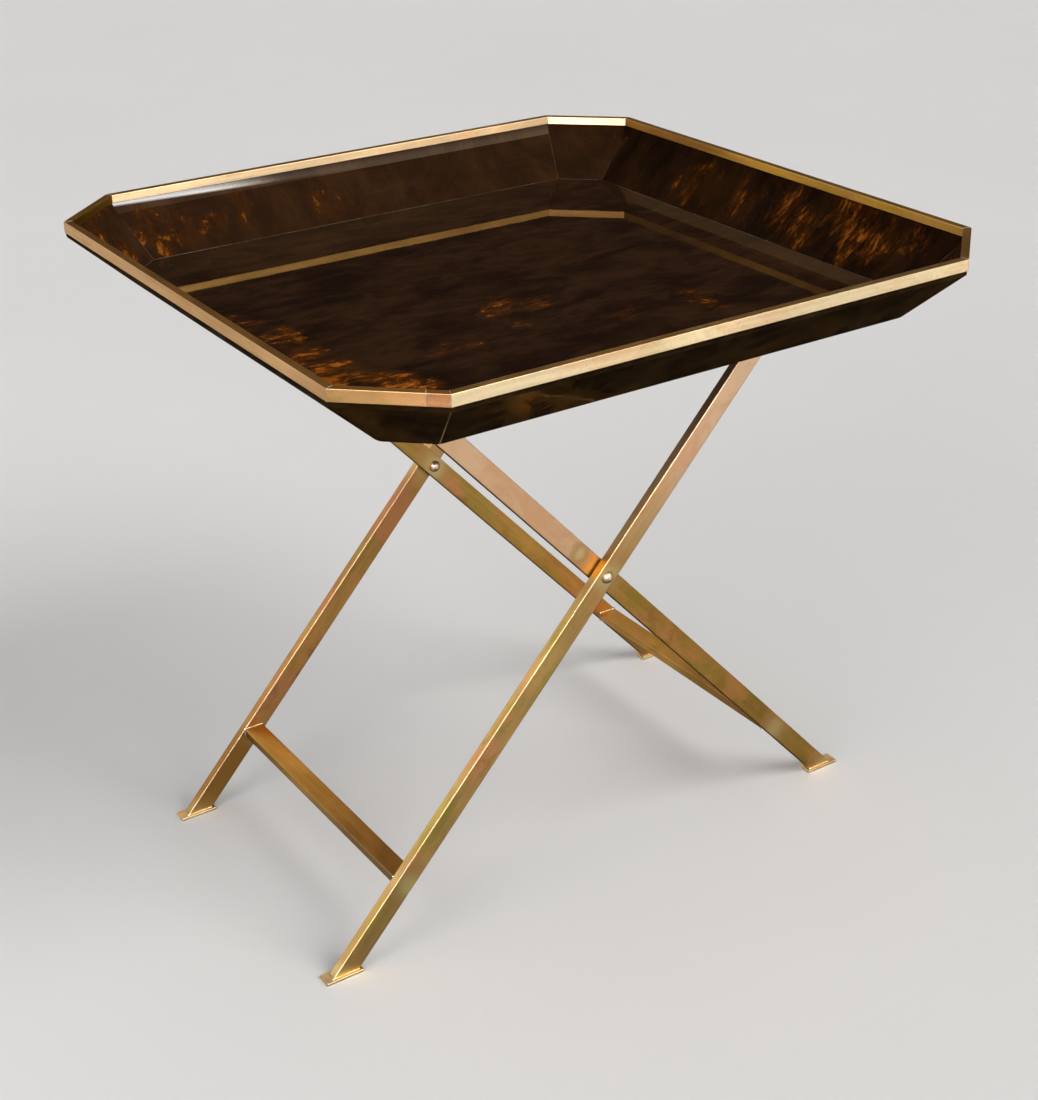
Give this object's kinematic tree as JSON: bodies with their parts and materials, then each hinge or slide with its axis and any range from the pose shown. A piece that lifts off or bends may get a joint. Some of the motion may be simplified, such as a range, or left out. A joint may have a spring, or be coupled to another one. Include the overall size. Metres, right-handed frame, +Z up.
{
  "type": "folding tray table",
  "caption": "Octagonal lacquered tray with sloping walls and a brass rim, resting on a folding X-frame stand of flat brass bar.",
  "frame": {"origin": "on the floor, under the centre of the tray", "axes": "+Z up, X across the stand along the splay of the legs, Y along the stretchers and the pivot axis; the front is -Y"},
  "size_m": [0.618, 0.6, 0.578],
  "materials": {
    "tortoiseshell_lacquer": "mirror-gloss lacquer over mottled faux tortoiseshell, near-black brown with amber flecks",
    "shell_lacquer": "gloss lacquer over mottled faux tortoiseshell",
    "rim_brass": "satin polished, lightly aged",
    "stand_brass": "satin brushed, aged, with coppery and olive patches",
    "pivot_brass": "polished",
    "batten_wood": "stained hardwood, satin"
  },
  "bodies": {
    "outer_frame": {"outer_leg_front": "stand_brass", "outer_leg_back": "stand_brass", "outer_foot_front": "stand_brass", "outer_foot_back": "stand_brass", "outer_stretcher": "stand_brass", "outer_top_rail": "stand_brass", "pivot_screws": "pivot_brass", "pivot_nuts": "pivot_brass", "pivot_washers": "pivot_brass"},
    "inner_frame": {"inner_leg_front": "stand_brass", "inner_leg_back": "stand_brass", "inner_foot_front": "stand_brass", "inner_foot_back": "stand_brass", "inner_stretcher": "stand_brass", "inner_top_rail": "stand_brass"},
    "tray": {"tray_shell": "shell_lacquer", "floor_panel": "tortoiseshell_lacquer", "wall_panel_front": "tortoiseshell_lacquer", "wall_panel_corner_front_right": "tortoiseshell_lacquer", "wall_panel_right": "tortoiseshell_lacquer", "wall_panel_corner_back_right": "tortoiseshell_lacquer", "wall_panel_back": "tortoiseshell_lacquer", "wall_panel_corner_back_left": "tortoiseshell_lacquer", "wall_panel_left": "tortoiseshell_lacquer", "wall_panel_corner_front_left": "tortoiseshell_lacquer", "rim_front": "rim_brass", "rim_corner_front_right": "rim_brass", "rim_right": "rim_brass", "rim_corner_back_right": "rim_brass", "rim_back": "rim_brass", "rim_corner_back_left": "rim_brass", "rim_left": "rim_brass", "rim_corner_front_left": "rim_brass", "rim_splice_front_left": "rim_brass", "batten_right": "batten_wood", "batten_left": "batten_wood"}
  },
  "joints": [
    {"name": "tray_lift", "type": "slide", "parent": "outer_frame", "child": "tray", "axis": [0, 0, 1], "range_m": [0, 0.4]},
    {"name": "stand_fold", "type": "hinge", "parent": "outer_frame", "child": "inner_frame", "pos_m": [-0.008, -0.005, 0.305], "axis": [0, 1, 0], "range_deg": [0, 80]}
  ],
  "couplings": [
    {"joint": "stand_fold", "follows": "tray_lift", "rad_per_m": 3.49}
  ]
}
